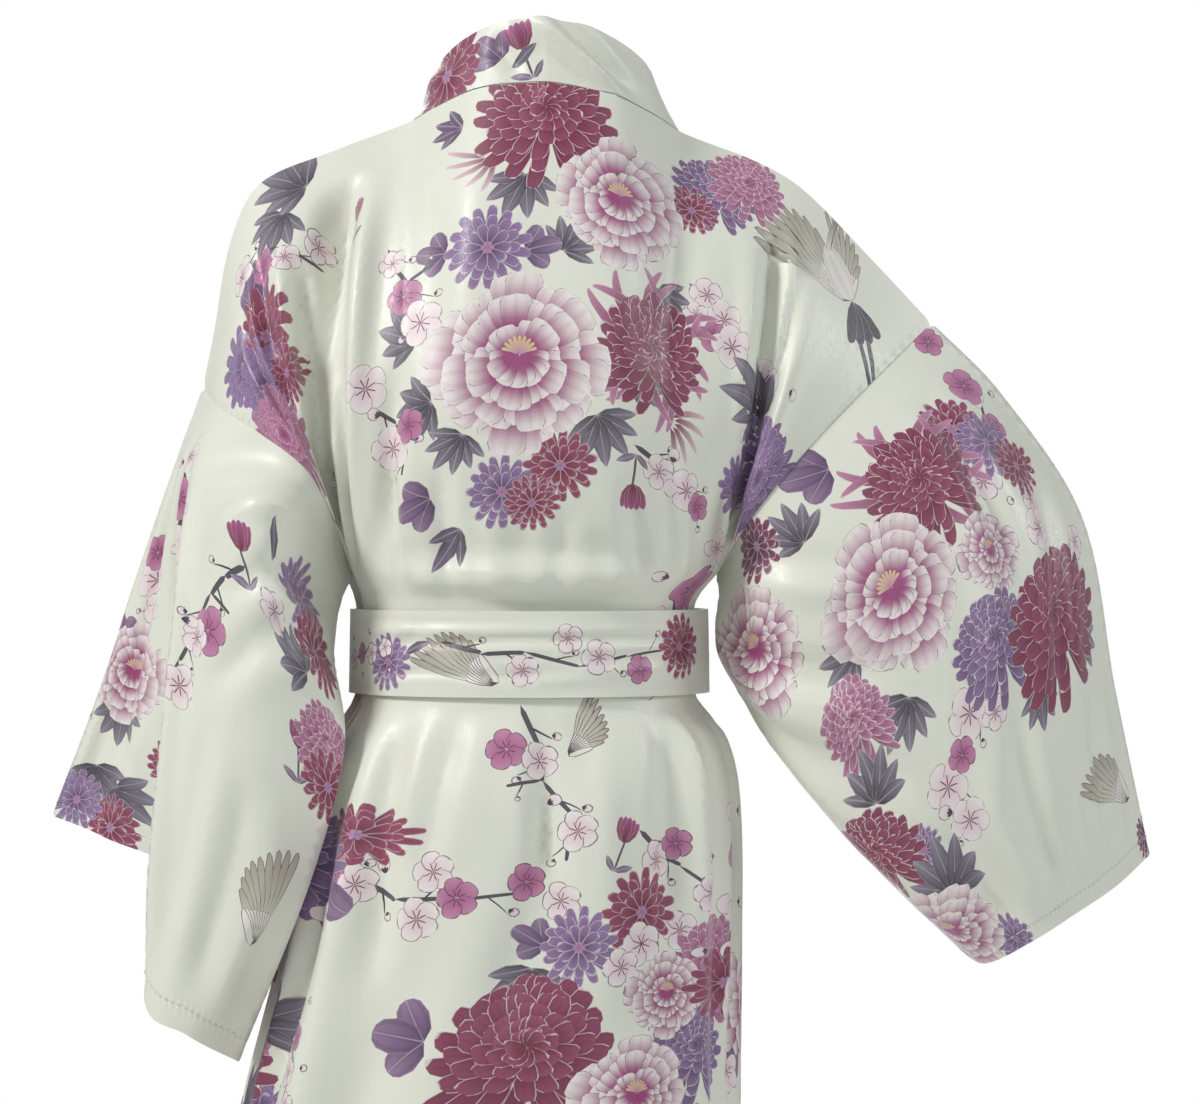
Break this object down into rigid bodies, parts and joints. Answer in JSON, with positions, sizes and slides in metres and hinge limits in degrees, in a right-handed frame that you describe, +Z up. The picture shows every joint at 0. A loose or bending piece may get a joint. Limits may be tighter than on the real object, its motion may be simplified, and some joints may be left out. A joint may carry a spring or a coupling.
{
  "type": "happi coat",
  "caption": "Short kimono-style coat with wide straight sleeves, a standing neckband and a matching sash, worn form.",
  "frame": {"origin": "base of the neck, level with the tops of the shoulders, in the middle of the neck opening", "axes": "+Z up, +Y towards the wearer's back, +X towards the wearer's left"},
  "size_m": [0.739, 0.2464, 0.8844],
  "materials": {
    "cloth": "satin",
    "band": "satin"
  },
  "bodies": {
    "root": {"back": "cloth", "front_left": "cloth", "front_right": "cloth", "sleeve_left": "cloth", "sleeve_right": "cloth", "neckband": "band", "sash": "band", "sash_knot": "band", "sash_end_left": "band", "sash_end_right": "band"}
  },
  "joints": []
}
